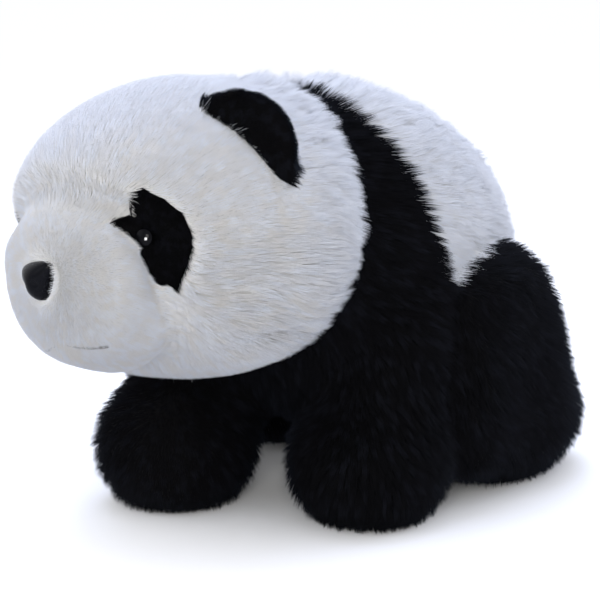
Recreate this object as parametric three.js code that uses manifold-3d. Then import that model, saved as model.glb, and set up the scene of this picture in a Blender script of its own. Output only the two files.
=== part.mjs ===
// A stuffed plush giant panda on four short legs, sewn from long-pile fur fabric.
// Its eyes and nose are plastic. Every solid reaches out to the tips of the pile.
//
// Millimetres. The toy faces -Y, its left side is +X, up is +Z and it stands on the floor z = 0.
// The head has a frame of its own: [left, forward, up] from the centre of the skull.

import * as THREE from "three";
import { mergeVertices } from "three/addons/utils/BufferGeometryUtils.js";
import Module from "manifold-3d";

const wasm = await Module();
wasm.setup();

const degrees = THREE.MathUtils.degToRad;

// ---- Driving dimensions -------------------------------------------------------------------------------

const GAP = 0.4; // clearance between neighbouring pieces
const SIDES = { left: 1, right: -1 };

// How finely each ball of rays is divided, and how many steps go round an eye patch.
const DETAIL = { head: 7, torso: 7, muzzle: 5, leg: 4, ear: 3, tail: 3, plastic: 2, patchEdge: 14 };

const TORSO = {
  heart: [0, 0, 165], // the point every surface ray starts from
  chest: { centre: [0, -47, 178], radii: [104, 92, 117] },
  hips: { centre: [0, 46, 150], radii: [99, 101, 114] },
  fillet: 80,
};

// The seam between the black shoulder yoke and the white back, a plane across the body.
const YOKE_SEAM = { point: [0, -66, 292], lean: -7 };

const FORELEG = {
  upper: { from: [64, -44, 150], to: [66, -58, 48], startRadius: 54, endRadius: 48 },
  paw: { centre: [65, -72, 39], radii: [51, 53, 41], fullness: 2.5 },
  heart: [66, -66, 62],
  fillet: 30,
  rightForward: 46, // the right foreleg stands this much further forward
};

const HINDLEG = {
  thigh: { centre: [86, 20, 97], radii: [54, 71, 86], fullness: 3.4 },
  haunch: { centre: [86, 74, 78], radii: [50, 56, 70] },
  paw: { centre: [92, 88, 38], radii: [46, 71, 40] },
  heart: [88, 70, 72],
  fillet: 30,
};

const TAIL = { centre: [0, 148, 136], radii: [19, 22, 28], droop: 25 };

const HEAD = {
  centre: [-24, -146, 202],
  yaw: -14, // the face turns to the toy's own right
  roll: 12, // the crown leans to the toy's own right
  skull: { centre: [0, 0, 0], radii: [121, 103, 99] },
  brow: { centre: [0, 30, 28], radii: [88, 85, 60] },
  nape: { centre: [0, -57, 25], radii: [79, 53, 71] },
  cheek: { centre: [52, 8, -28], radii: [62, 64, 60] },
  fillet: 24,
};

const MUZZLE = {
  jowls: { centre: [0, 71, -39], radii: [68, 38, 46] },
  snout: { centre: [0, 100, -22], radii: [67, 22, 50] },
  bridge: { centre: [0, 88, 18], radii: [41, 26, 48] },
  heart: [0, 84, -26],
  fillet: 16,
};

const NOSE = { centre: [0, 120, -20], width: 33, height: 28, depth: 11, topWidth: 1.05, taper: 0.5 };

const EAR = {
  innerEnd: [66, 26, 75],
  outerEnd: [114, 2, 21],
  height: 30,
  thickness: 14,
  cup: 9, // how far the two ends of the ear curl forward
  leanBack: 20,
};

// Drop-shaped patch round each eye: a short-pile inset, sunk below the long pile of the face.
const EYE_PATCH = {
  azimuth: 37, // direction of its centre from the centre of the skull
  elevation: -3,
  outline: [
    [-24, 17],
    [-8, 17],
    [-2, 33],
    [17, 22],
    [29, 3],
    [27, -15],
    [6, -36],
    [-8, -17],
  ], // [outward, up]
  below: 4, // the pile tips of the patch under those of the face
  pocket: 12, // floor of the pocket under the pile tips of the face
  pinFrom: 60, // the cutting pin reaches from well inside the head ...
  pinTo: 130, // ... to outside it
};

const EYE = { azimuth: 37, elevation: -1, radius: 5.5, below: 5 };

// ---- Fields: how far a point lies outside a soft form, negative inside ---------------------------------

const vec = (v) => (v.isVector3 ? v.clone() : new THREE.Vector3(...v));

/** An ellipsoid, optionally turned; a fullness above 2 makes its shoulders squarer. */
function ellipsoid({ centre, radii, fullness = 2, turn = new THREE.Quaternion() }) {
  const origin = vec(centre);
  const size = vec(radii);
  const back = turn.clone().invert();
  const q = new THREE.Vector3();
  return (p) => {
    q.subVectors(p, origin).applyQuaternion(back).divide(size);
    const parts = q.toArray().map(Math.abs);
    const reach = parts.reduce((sum, part) => sum + part ** fullness, 0) ** (1 / fullness);
    if (reach < 1e-6) return -Math.min(...size.toArray());
    const rises = parts.map((part, axis) => (part / reach) ** (fullness - 1) / size.getComponent(axis));
    return (reach - 1) / Math.hypot(...rises);
  };
}

/** A round limb that tapers from one end to the other. */
function limb({ from, to, startRadius, endRadius }) {
  const start = vec(from);
  const axis = vec(to).sub(start);
  const q = new THREE.Vector3();
  return (p) => {
    q.subVectors(p, start);
    const t = THREE.MathUtils.clamp(q.dot(axis) / axis.lengthSq(), 0, 1);
    return q.addScaledVector(axis, -t).length() - THREE.MathUtils.lerp(startRadius, endRadius, t);
  };
}

/** Several forms in one, with a soft fillet where they meet. */
function joined(fillet, ...fields) {
  const pair = (a, b) => {
    const h = Math.max(fillet - Math.abs(a - b), 0) / fillet;
    return Math.min(a, b) - (h * h * fillet) / 4;
  };
  return (p) => fields.map((field) => field(p)).reduce(pair);
}

const grown = (field, by) => (p) => field(p) - by;

// ---- Meshes and solids ---------------------------------------------------------------------------------

/** How far a form reaches from a point along a direction. */
function reachOf(field, heart, direction) {
  const point = new THREE.Vector3();
  const at = (length) => field(point.copy(heart).addScaledVector(direction, length));
  const step = 4;
  let inner = 0;
  while (at(inner + step) < 0) inner += step;
  let outer = inner + step;
  for (let halving = 0; halving < 16; halving++) {
    const middle = (inner + outer) / 2;
    if (at(middle) < 0) inner = middle;
    else outer = middle;
  }
  return outer;
}

/** A closed mesh of a form: a ball of rays from its heart, each as long as the form reaches. */
function softBody(field, heart, detail) {
  const ball = new THREE.IcosahedronGeometry(1, detail);
  const position = ball.getAttribute("position");
  const centre = vec(heart);
  const direction = new THREE.Vector3();
  for (let i = 0; i < position.count; i++) {
    direction.fromBufferAttribute(position, i).normalize();
    const reach = reachOf(field, centre, direction);
    direction.multiplyScalar(reach).add(centre);
    position.setXYZ(i, direction.x, direction.y, direction.z);
  }
  return ball;
}

/** A three.js geometry as a manifold solid. */
function solid(geometry) {
  const bare = geometry.clone();
  bare.deleteAttribute("normal");
  bare.deleteAttribute("uv");
  const merged = mergeVertices(bare, 1e-3);
  const mesh = new wasm.Mesh({
    numProp: 3,
    vertProperties: new Float32Array(merged.getAttribute("position").array),
    triVerts: new Uint32Array(merged.index.array),
  });
  return new wasm.Manifold(mesh);
}

/** A manifold solid as a three.js geometry. */
function geometryOf(body) {
  const mesh = body.getMesh();
  const geometry = new THREE.BufferGeometry();
  const vertices = new Float32Array(mesh.vertProperties);
  geometry.setAttribute("position", new THREE.BufferAttribute(vertices, 3));
  geometry.setIndex(new THREE.BufferAttribute(new Uint32Array(mesh.triVerts), 1));
  geometry.computeVertexNormals();
  return geometry;
}

/** Everything on the side of a plane that its normal points to, as one large box. */
function beyond(point, normal) {
  const size = 900;
  const box = new THREE.BoxGeometry(size, size, size);
  const upright = new THREE.Vector3(0, 0, 1);
  box.translate(0, 0, size / 2);
  box.applyQuaternion(new THREE.Quaternion().setFromUnitVectors(upright, normal));
  box.translate(point.x, point.y, point.z);
  return solid(box);
}

// ---- The toy -------------------------------------------------------------------------------------------

const fur = (color) => new THREE.MeshStandardMaterial({ color, roughness: 0.95, metalness: 0 });
const WHITE_FUR = fur(0xdfe2e8);
const BLACK_FUR = fur(0x0d0d10);
const BLACK_VELOUR = fur(0x08080a);
const GLOSS_PLASTIC = new THREE.MeshStandardMaterial({ color: 0x101014, roughness: 0.18, metalness: 0 });

const panda = new THREE.Group();
panda.name = "plush_panda";

function add(name, body, material) {
  const mesh = new THREE.Mesh(geometryOf(body), material);
  mesh.name = name;
  panda.add(mesh);
}

// Head first, about its own centre, because the body is cut back to it.

const headTurn = new THREE.Matrix4()
  .makeRotationZ(degrees(180 + HEAD.yaw))
  .multiply(new THREE.Matrix4().makeRotationY(degrees(HEAD.roll)));
const headPlace = headTurn.clone().setPosition(...HEAD.centre);

/** [left, forward, up] of the toy's left side, or mirrored to its right, in the head's own axes. */
const onHead = ([left, forward, up], side = 1) => new THREE.Vector3(-side * left, forward, up);

/** A direction from the centre of the skull: azimuth out to a side, elevation up. */
function headDirection({ azimuth, elevation }, side) {
  const a = degrees(azimuth);
  const e = degrees(elevation);
  return onHead([Math.sin(a) * Math.cos(e), Math.cos(a) * Math.cos(e), Math.sin(e)], side);
}

const skullHeart = new THREE.Vector3(0, 0, 0);
const headField = joined(
  HEAD.fillet,
  ellipsoid(HEAD.skull),
  ellipsoid(HEAD.brow),
  ellipsoid(HEAD.nape),
  ellipsoid({ ...HEAD.cheek, centre: onHead(HEAD.cheek.centre, SIDES.left) }),
  ellipsoid({ ...HEAD.cheek, centre: onHead(HEAD.cheek.centre, SIDES.right) }),
);
const muzzleField = joined(
  MUZZLE.fillet,
  ellipsoid(MUZZLE.jowls),
  ellipsoid(MUZZLE.snout),
  ellipsoid(MUZZLE.bridge),
);

const headLayer = (by) => solid(softBody(grown(headField, by), skullHeart, DETAIL.head));
const headBody = headLayer(0);
const headKeepOut = headLayer(GAP);
const muzzleKeepOut = solid(softBody(grown(muzzleField, GAP), MUZZLE.heart, DETAIL.muzzle));
const pocketFloor = headLayer(-EYE_PATCH.pocket);
const patchBack = headLayer(GAP - EYE_PATCH.pocket);
const patchFront = headLayer(-EYE_PATCH.below);

/** A pin through the face with the outline of an eye patch, grown by a margin. */
function patchPin(side, margin) {
  const corners = EYE_PATCH.outline.map(([outward, up]) => {
    const corner = new THREE.Vector2(-side * outward, up);
    return corner.setLength(corner.length() + margin);
  });
  const curve = new THREE.SplineCurve([...corners, corners[0]]);
  const shape = new THREE.Shape(curve.getPoints(DETAIL.patchEdge));
  const depth = EYE_PATCH.pinTo - EYE_PATCH.pinFrom;
  const pin = new THREE.ExtrudeGeometry(shape, { depth, bevelEnabled: false });
  const ahead = headDirection(EYE_PATCH, side);
  const upright = new THREE.Vector3(0, 0, 1).addScaledVector(ahead, -ahead.z).normalize();
  const across = new THREE.Vector3().crossVectors(upright, ahead);
  pin.scale(-1, 1, -1);
  pin.applyMatrix4(new THREE.Matrix4().makeBasis(across, upright, ahead));
  pin.translate(...ahead.multiplyScalar(EYE_PATCH.pinTo).toArray());
  return solid(pin);
}

let head = headBody;
const faceParts = [];

for (const [name, side] of Object.entries(SIDES)) {
  const pocket = patchPin(side, GAP).subtract(pocketFloor);
  head = head.subtract(pocket);

  const gaze = headDirection(EYE, side);
  const eyeReach = reachOf(grown(headField, -EYE.below), skullHeart, gaze);
  const eyeCentre = gaze.multiplyScalar(eyeReach);
  const eyeball = (radius) => {
    const ball = new THREE.IcosahedronGeometry(radius, DETAIL.plastic);
    ball.translate(eyeCentre.x, eyeCentre.y, eyeCentre.z);
    return solid(ball);
  };
  const patch = patchPin(side, 0)
    .intersect(patchFront)
    .subtract(patchBack)
    .subtract(muzzleKeepOut)
    .subtract(eyeball(EYE.radius + GAP));
  faceParts.push([`eye_patch_${name}`, patch, BLACK_VELOUR]);
  faceParts.push([`eye_${name}`, eyeball(EYE.radius), GLOSS_PLASTIC]);
}

/** A cupped half-disc that stands out of the side of the head. */
function earBody(side) {
  const inner = onHead(EAR.innerEnd, side);
  const outer = onHead(EAR.outerEnd, side);
  const root = inner.clone().lerp(outer, 0.5);
  const chord = outer.clone().sub(inner);
  const halfChord = chord.length() / 2;
  chord.normalize();
  const rise = root.clone().addScaledVector(chord, -root.dot(chord)).normalize();
  const across = new THREE.Vector3().crossVectors(rise, chord);
  const forward = Math.sign(across.y);
  const lean = -forward * degrees(EAR.leanBack);
  const leaning = rise.clone().multiplyScalar(Math.cos(lean)).addScaledVector(across, Math.sin(lean));
  across.crossVectors(leaning, chord);

  const disc = new THREE.IcosahedronGeometry(1, DETAIL.ear);
  const position = disc.getAttribute("position");
  const point = new THREE.Vector3();
  for (let i = 0; i < position.count; i++) {
    const along = position.getX(i);
    const through = position.getY(i) * EAR.thickness + forward * EAR.cup * along * along;
    point.copy(root);
    point.addScaledVector(chord, along * halfChord);
    point.addScaledVector(across, through);
    point.addScaledVector(leaning, position.getZ(i) * EAR.height);
    position.setXYZ(i, point.x, point.y, point.z);
  }
  return solid(disc).subtract(headKeepOut);
}

/** The nose: a shallow dome, wide at the top and narrowing to the mouth, grown by a margin. */
function noseBody(margin) {
  const dome = new THREE.IcosahedronGeometry(1, DETAIL.plastic);
  const position = dome.getAttribute("position");
  for (let i = 0; i < position.count; i++) {
    const down = (1 - position.getZ(i)) / 2;
    const narrowing = NOSE.topWidth - NOSE.taper * down * down;
    position.setX(i, position.getX(i) * narrowing);
  }
  dome.scale(NOSE.width / 2 + margin, NOSE.depth + margin, NOSE.height / 2 + margin);
  dome.translate(...NOSE.centre);
  return solid(dome);
}

const muzzle = solid(softBody(muzzleField, MUZZLE.heart, DETAIL.muzzle))
  .subtract(headKeepOut)
  .subtract(noseBody(GAP));

const placed = (body) => body.transform(headPlace.elements);

// Torso: the black yoke in front of the seam, the white back behind it.

const torsoField = joined(TORSO.fillet, ellipsoid(TORSO.chest), ellipsoid(TORSO.hips));
const torso = solid(softBody(torsoField, TORSO.heart, DETAIL.torso));
const torsoKeepOut = solid(softBody(grown(torsoField, GAP), TORSO.heart, DETAIL.torso));
const bodyWithHead = torsoKeepOut.add(placed(headKeepOut));

const seamLean = degrees(YOKE_SEAM.lean);
const seamNormal = new THREE.Vector3(0, Math.cos(seamLean), -Math.sin(seamLean));
const seamPoint = vec(YOKE_SEAM.point);
const behindSeam = beyond(seamPoint.clone().addScaledVector(seamNormal, GAP / 2), seamNormal);
const frontNormal = seamNormal.clone().negate();
const beforeSeam = beyond(seamPoint.clone().addScaledVector(frontNormal, GAP / 2), frontNormal);

add("head", placed(head).subtract(torsoKeepOut), WHITE_FUR);
add("muzzle", placed(muzzle), WHITE_FUR);
add("nose", placed(noseBody(0)), GLOSS_PLASTIC);
for (const [name, body, material] of faceParts) add(name, placed(body), material);
add("ear_left", placed(earBody(SIDES.left)), BLACK_FUR);
add("ear_right", placed(earBody(SIDES.right)), BLACK_FUR);
add("back", torso.intersect(behindSeam), WHITE_FUR);
add("shoulder_yoke", torso.intersect(beforeSeam), BLACK_FUR);

const droop = new THREE.Quaternion().setFromAxisAngle(new THREE.Vector3(1, 0, 0), degrees(TAIL.droop));
const tail = solid(softBody(ellipsoid({ ...TAIL, turn: droop }), TAIL.centre, DETAIL.tail));
add("tail", tail.subtract(torsoKeepOut), WHITE_FUR);

// Legs: each ends in a small flat sole on the floor.

const floor = new THREE.Vector3(0, 0, 0);
const aboveFloor = beyond(floor, new THREE.Vector3(0, 0, 1));

for (const [name, side] of Object.entries(SIDES)) {
  const ahead = side === SIDES.right ? FORELEG.rightForward : 0;
  const onSide = ([x, y, z]) => [x * side, y, z];
  const inFront = ([x, y, z]) => [x * side, y - ahead, z];

  const foreField = joined(
    FORELEG.fillet,
    limb({ ...FORELEG.upper, from: onSide(FORELEG.upper.from), to: inFront(FORELEG.upper.to) }),
    ellipsoid({ ...FORELEG.paw, centre: inFront(FORELEG.paw.centre) }),
  );
  const hindField = joined(
    HINDLEG.fillet,
    ellipsoid({ ...HINDLEG.thigh, centre: onSide(HINDLEG.thigh.centre) }),
    ellipsoid({ ...HINDLEG.haunch, centre: onSide(HINDLEG.haunch.centre) }),
    ellipsoid({ ...HINDLEG.paw, centre: onSide(HINDLEG.paw.centre) }),
  );
  const foreHeart = inFront(FORELEG.heart);
  const hindHeart = onSide(HINDLEG.heart);
  const foreleg = solid(softBody(foreField, foreHeart, DETAIL.leg));
  const forelegKeepOut = solid(softBody(grown(foreField, GAP), foreHeart, DETAIL.leg));
  const hindleg = solid(softBody(hindField, hindHeart, DETAIL.leg));
  add(`foreleg_${name}`, foreleg.subtract(bodyWithHead).intersect(aboveFloor), BLACK_FUR);
  add(
    `hindleg_${name}`,
    hindleg.subtract(torsoKeepOut).subtract(forelegKeepOut).intersect(aboveFloor),
    BLACK_FUR,
  );
}

// The origin is the middle of the floor under the toy.

const extent = new THREE.Box3().setFromObject(panda);
const middle = extent.getCenter(new THREE.Vector3());
for (const mesh of panda.children) mesh.geometry.translate(-middle.x, -middle.y, -extent.min.z);

export default panda;
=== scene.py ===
"""A stuffed plush giant panda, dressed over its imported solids.

One stuffed skin takes the place of the sewn solids and lies below them by the depth of the pile.
The pile is grown over the skin as solid tufts, panel by panel, the eyes and the nose are moulded
plastic and the mouth is a stitched thread. Everything is in metres: the toy faces -Y, its own left
is +X and it stands on z = 0.
"""

import logging
import math
from dataclasses import dataclass, field
from enum import Enum

import bmesh
import bpy
import numpy as np
from mathutils import Matrix, Vector, noise
from mathutils.bvhtree import BVHTree


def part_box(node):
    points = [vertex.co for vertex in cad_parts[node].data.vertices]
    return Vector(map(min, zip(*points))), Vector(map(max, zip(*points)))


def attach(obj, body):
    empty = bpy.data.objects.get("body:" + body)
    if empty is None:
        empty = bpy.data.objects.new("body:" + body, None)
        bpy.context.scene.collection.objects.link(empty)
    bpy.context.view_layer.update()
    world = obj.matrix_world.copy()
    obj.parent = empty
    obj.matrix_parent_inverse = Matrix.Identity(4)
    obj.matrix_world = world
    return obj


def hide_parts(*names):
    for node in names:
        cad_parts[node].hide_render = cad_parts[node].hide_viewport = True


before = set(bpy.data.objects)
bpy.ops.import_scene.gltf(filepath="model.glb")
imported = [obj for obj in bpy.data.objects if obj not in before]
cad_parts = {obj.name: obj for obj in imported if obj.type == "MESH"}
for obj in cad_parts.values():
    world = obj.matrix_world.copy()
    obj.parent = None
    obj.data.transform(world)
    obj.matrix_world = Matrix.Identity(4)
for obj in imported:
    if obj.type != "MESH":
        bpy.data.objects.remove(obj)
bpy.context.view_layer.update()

log = logging.getLogger("plush_panda")

MM = 0.001
BODY = "root"
EYES = ("eye_left", "eye_right")
NOSE = "nose"
SKEW = Vector((0.37, 0.53, 0.76)).normalized()  # a direction that runs along no face of the solids


# ---- Small helpers -----------------------------------------------------------


def linear(hex_code: str) -> tuple[float, float, float, float]:
    """Turn an sRGB hex colour into linear red, green and blue, with alpha 1."""
    parts = [int(hex_code[i:i + 2], 16) / 255 for i in (1, 3, 5)]
    light = [c / 12.92 if c <= 0.04045 else ((c + 0.055) / 1.055) ** 2.4 for c in parts]
    return (*light, 1.0)


def socket_at(sockets: object, key: int | str) -> bpy.types.NodeSocket:
    """Find a node's socket by its place or its name among those in use."""
    used = [s for s in sockets if not s.is_unavailable]
    return used[key] if isinstance(key, int) else next(s for s in used if s.name == key)


def add_node(tree: bpy.types.NodeTree, kind: str, settings: dict | None = None,
             inputs: dict | None = None) -> bpy.types.Node:
    """Add a node with its settings and everything that feeds it.

    Args:
        tree: The node tree that gets the node.
        kind: The node's type name.
        settings: Values for the node's own properties.
        inputs: For each input, by name or place, a node, a socket or a plain value.

    Returns:
        The new node.
    """
    node = tree.nodes.new(kind)
    for key, value in (settings or {}).items():
        setattr(node, key, value)
    for key, value in (inputs or {}).items():
        target = socket_at(node.inputs, key)
        if isinstance(value, bpy.types.Node):
            tree.links.new(socket_at(value.outputs, 0), target)
        elif isinstance(value, bpy.types.NodeSocket):
            tree.links.new(value, target)
        else:
            target.default_value = value
    return node


def unit(vectors: np.ndarray) -> np.ndarray:
    """Scale each row to length 1."""
    return vectors / np.maximum(np.linalg.norm(vectors, axis=-1, keepdims=True), 1e-9)


def across_normal(vectors: np.ndarray, normals: np.ndarray) -> np.ndarray:
    """Lay each vector flat on the surface whose normal stands in the same row."""
    return vectors - normals * np.sum(vectors * normals, axis=1, keepdims=True)


def smooth_step(value: np.ndarray, low: float, high: float, least: float = 0) -> np.ndarray:
    """Rise softly from least at low to 1 at high."""
    t = np.clip((value - low) / (high - low), 0.0, 1.0)
    return least + (1 - least) * (t * t * (3 - 2 * t))


def ripple(points: np.ndarray, size: float, shift: float) -> np.ndarray:
    """Smooth random values from about -1 to 1 over space, as waves of one size in metres."""
    offset = Vector((shift, 2.3 * shift, -1.7 * shift))
    return np.array([noise.noise(Vector(p) / size + offset) for p in points])


def new_object(name: str, mesh: bpy.types.Mesh) -> bpy.types.Object:
    """Put a mesh in the scene as an object at the origin."""
    obj = bpy.data.objects.new(name, mesh)
    bpy.context.scene.collection.objects.link(obj)
    return obj


def evaluated_mesh(obj: bpy.types.Object) -> bpy.types.Mesh:
    """Return a plain mesh of an object with its modifiers carried out."""
    graph = bpy.context.evaluated_depsgraph_get()
    return bpy.data.meshes.new_from_object(obj.evaluated_get(graph))


def mesh_from(shape: bmesh.types.BMesh, name: str) -> bpy.types.Mesh:
    """Turn a shape into a mesh and free it."""
    mesh = bpy.data.meshes.new(name)
    shape.to_mesh(mesh)
    shape.free()
    return mesh


def shade_smooth(mesh: bpy.types.Mesh) -> None:
    """Shade every face of a mesh as part of a smooth surface."""
    mesh.polygons.foreach_set("use_smooth", [True] * len(mesh.polygons))


def carry_out(piece: bpy.types.Object) -> bpy.types.Mesh:
    """Give an object the mesh that its modifiers make, in its own name, and take them off."""
    mesh, bare = evaluated_mesh(piece), piece.data
    piece.modifiers.clear()
    piece.data = mesh
    bpy.data.meshes.remove(bare)
    mesh.name = piece.name
    shade_smooth(mesh)
    return mesh


def set_inputs(modifier: bpy.types.Modifier, values: dict[str, object]) -> None:
    """Set a geometry modifier's inputs by their sockets' identifiers."""
    sockets = {s.name: s.identifier for s in modifier.node_group.interface.items_tree
               if s.item_type == "SOCKET" and s.in_out == "INPUT"}
    for name, value in values.items():
        modifier[sockets[name]] = value


def read_out(items: object, key: str, width: int = 1, kind: type = float) -> np.ndarray:
    """Read one property of every item of a mesh.

    Args:
        items: The mesh's vertices, edges, corners, faces or values of an attribute.
        key: The property's name.
        width: How many numbers it holds.
        kind: The type of those numbers.

    Returns:
        One number for each item, or one row where it holds several.
    """
    values = np.empty(len(items) * width, dtype=kind)
    items.foreach_get(key, values)
    return values.reshape(-1, width) if width > 1 else values


def positions(mesh: bpy.types.Mesh) -> np.ndarray:
    """Return the places of a mesh's vertices, one row each."""
    return read_out(mesh.vertices, "co", 3)


def normals_of(mesh: bpy.types.Mesh) -> np.ndarray:
    """Return the smooth normals of a mesh's vertices, one row each."""
    return read_out(mesh.vertices, "normal", 3)


def move_to(mesh: bpy.types.Mesh, places: np.ndarray) -> None:
    """Put a mesh's vertices at new places, one row each."""
    mesh.vertices.foreach_set("co", places.ravel())
    mesh.update()


def search_tree(mesh: bpy.types.Mesh) -> BVHTree:
    """Return a mesh as a tree to cast rays at."""
    return BVHTree.FromPolygons([tuple(place) for place in positions(mesh)],
                                [tuple(face.vertices) for face in mesh.polygons])


class Neighbours:
    """The edges of a mesh, for spreading values from each vertex to those round it."""

    def __init__(self, mesh: bpy.types.Mesh) -> None:
        pairs = read_out(mesh.edges, "vertices", 2, np.int64)
        self.here = np.concatenate([pairs[:, 0], pairs[:, 1]])
        self.there = np.concatenate([pairs[:, 1], pairs[:, 0]])
        self.count = len(mesh.vertices)
        self.degree = np.maximum(np.bincount(self.here, minlength=self.count), 1)

    def mean(self, values: np.ndarray) -> np.ndarray:
        """Return the mean of each vertex's neighbours, for numbers or rows of numbers."""
        columns = values.reshape(self.count, -1)
        sums = [np.bincount(self.here, c[self.there], self.count) for c in columns.T]
        return (np.stack(sums, axis=1) / self.degree[:, None]).reshape(values.shape)

    def blur(self, values: np.ndarray, rounds: int) -> np.ndarray:
        """Blur values over the mesh, halfway to the neighbours' mean each round."""
        for _ in range(rounds):
            values = 0.5 * values + 0.5 * self.mean(values)
        return values


# ---- Finishes ----------------------------------------------------------------

# Kinds of node that come again and again, with their settings.
MULTIPLY = ("ShaderNodeMath", {"operation": "MULTIPLY"})
DIVIDE = ("ShaderNodeMath", {"operation": "DIVIDE"})
SUM = ("ShaderNodeVectorMath", {"operation": "ADD"})
APART = ("ShaderNodeVectorMath", {"operation": "SUBTRACT"})
SCALED = ("ShaderNodeVectorMath", {"operation": "SCALE"})
UNIT = ("ShaderNodeVectorMath", {"operation": "NORMALIZE"})
CROSSED = ("ShaderNodeVectorMath", {"operation": "CROSS_PRODUCT"})

SOFTLY = {"interpolation_type": "SMOOTHSTEP"}
BLENDED = {"data_type": "RGBA"}
NUMBER = {"data_type": "FLOAT"}
ARROW = {"data_type": "FLOAT_VECTOR"}


@dataclass(frozen=True)
class Finish:
    """A material that a piece is made of, by the name it gets."""

    name: str

    def _surface(self, tree: bpy.types.NodeTree) -> dict[str, object]:
        """Lay out what varies over the surface and return the surface's settings."""
        raise NotImplementedError

    def make(self) -> bpy.types.Material:
        """Build the material."""
        material = bpy.data.materials.new(self.name)
        material.use_nodes = True
        tree = material.node_tree
        tree.nodes.clear()
        surface = add_node(tree, "ShaderNodeBsdfPrincipled", {}, self._surface(tree))
        add_node(tree, "ShaderNodeOutputMaterial", {}, {"Surface": surface})
        return material


@dataclass(frozen=True)
class PlushPile(Finish):
    """Brushed acrylic pile of plush fabric, seen as tufts.

    Matt fibre with a soft sheen where light skims the tips. Each lock and each tuft differs a
    little in colour, some locks carry a painted highlight, and the colour down at the knitted
    backing is painted
    shading: darker in the black, lighter in the white to offset the shade deep in the pile.
    """

    fibre: str  # colour of most tips
    painted_root_shading: str  # painted shading at the backing: darker in black, lighter in white to offset its shade
    cream_and_crease_shade: str  # locks that have yellowed a little, or caught dust; along the muzzle's seam, painted crease shade
    painted_lock_highlight: str  # painted highlight on random locks
    sheen: float
    sheen_colour: str
    gloss: float = 0.1
    roughness: float = 0.85
    tint_spread: float = 0.03  # how much the tufts differ in lightness
    through: float = 0.0  # share of the light that passes into the fibre
    scatter: float = 1.5 * MM  # how far it gets

    def _surface(self, tree: bpy.types.NodeTree) -> dict[str, object]:
        """Colour each tuft by its own attributes."""
        along, chance, lock, creamy = (
            add_node(tree, "ShaderNodeAttribute", {"attribute_name": name}).outputs["Fac"]
            for name in ("along", "chance", "lock", "creamy"))
        few = add_node(tree, "ShaderNodeMapRange", SOFTLY, {
            "Value": lock, "From Min": 0.1, "From Max": 0.6, "To Min": 0.85, "To Max": 0.3})
        # The cream share is real yellowing, and along the muzzle's seam painted shade in the
        # crease.
        share = add_node(tree, *MULTIPLY, {0: creamy, 1: few})
        tinted = add_node(tree, "ShaderNodeMix", BLENDED, {
            "Factor": share, "A": linear(self.fibre), "B": linear(self.cream_and_crease_shade)})
        # Painted highlight: random locks are lighter, as if they turned their flat side to the
        # light.
        turned = add_node(tree, "ShaderNodeMapRange", SOFTLY, {
            "Value": lock, "From Min": 0.5, "From Max": 1.0})
        painted_highlit = add_node(tree, "ShaderNodeMix", BLENDED, {
            "Factor": turned, "A": tinted, "B": linear(self.painted_lock_highlight)})
        # Painted shading down the pile: each tuft turns from its root colour at the backing to its
        # tip colour.
        depth = add_node(tree, "ShaderNodeMapRange", SOFTLY, {
            "Value": along, "From Min": 0.0, "From Max": 0.7})
        shade = add_node(tree, "ShaderNodeMix", BLENDED, {
            "Factor": depth, "A": linear(self.painted_root_shading), "B": painted_highlit})
        value = add_node(tree, "ShaderNodeMapRange", {}, {
            "Value": chance, "To Min": 1 - self.tint_spread, "To Max": 1 + self.tint_spread / 3})
        colour = add_node(tree, "ShaderNodeHueSaturation", {}, {"Color": shade, "Value": value})
        return {"Base Color": colour, "Roughness": self.roughness, "IOR": 1.49,
                "Specular IOR Level": self.gloss, "Sheen Weight": self.sheen,
                "Sheen Roughness": 0.45, "Sheen Tint": linear(self.sheen_colour),
                "Subsurface Weight": self.through, "Subsurface Scale": self.scatter,
                "Subsurface Radius": (1.0, 1.0, 1.0)}


@dataclass(frozen=True)
class KnittedBacking(Finish):
    """Knitted polyester backing of the plush, dyed like its pile, seen only between tufts."""

    name: str = "knitted_backing"
    white: str = "#d4d4d2"
    black: str = "#060608"
    stitch: float = 1.1 * MM  # real knit is about 0.6 mm; drawn coarser, so that it shows

    def _surface(self, tree: bpy.types.NodeTree) -> dict[str, object]:
        """Knit the cloth, black where the skin's own marking says so."""
        marking = add_node(tree, "ShaderNodeAttribute", {"attribute_name": "black"})
        edge = add_node(tree, "ShaderNodeMapRange", SOFTLY, {
            "Value": marking.outputs["Fac"], "From Min": -0.3 * MM, "From Max": 0.3 * MM})
        place = add_node(tree, "ShaderNodeTexCoord")
        knit = add_node(tree, "ShaderNodeTexVoronoi", {}, {
            "Vector": place.outputs["Object"], "Scale": 1 / self.stitch})
        dyed = add_node(tree, "ShaderNodeMix", BLENDED, {
            "Factor": edge, "A": linear(self.white), "B": linear(self.black)})
        worn = add_node(tree, "ShaderNodeMapRange", {}, {
            "Value": knit.outputs["Distance"], "To Min": 1.0, "To Max": 0.8})
        colour = add_node(tree, "ShaderNodeHueSaturation", {}, {"Color": dyed, "Value": worn})
        relief = add_node(tree, "ShaderNodeBump", {}, {
            "Strength": 0.6, "Distance": 0.3 * MM, "Height": knit.outputs["Distance"]})
        return {"Base Color": colour, "Roughness": 0.95, "Specular IOR Level": 0.1,
                "Sheen Weight": 0.1, "Sheen Roughness": 0.5, "Normal": relief}


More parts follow.
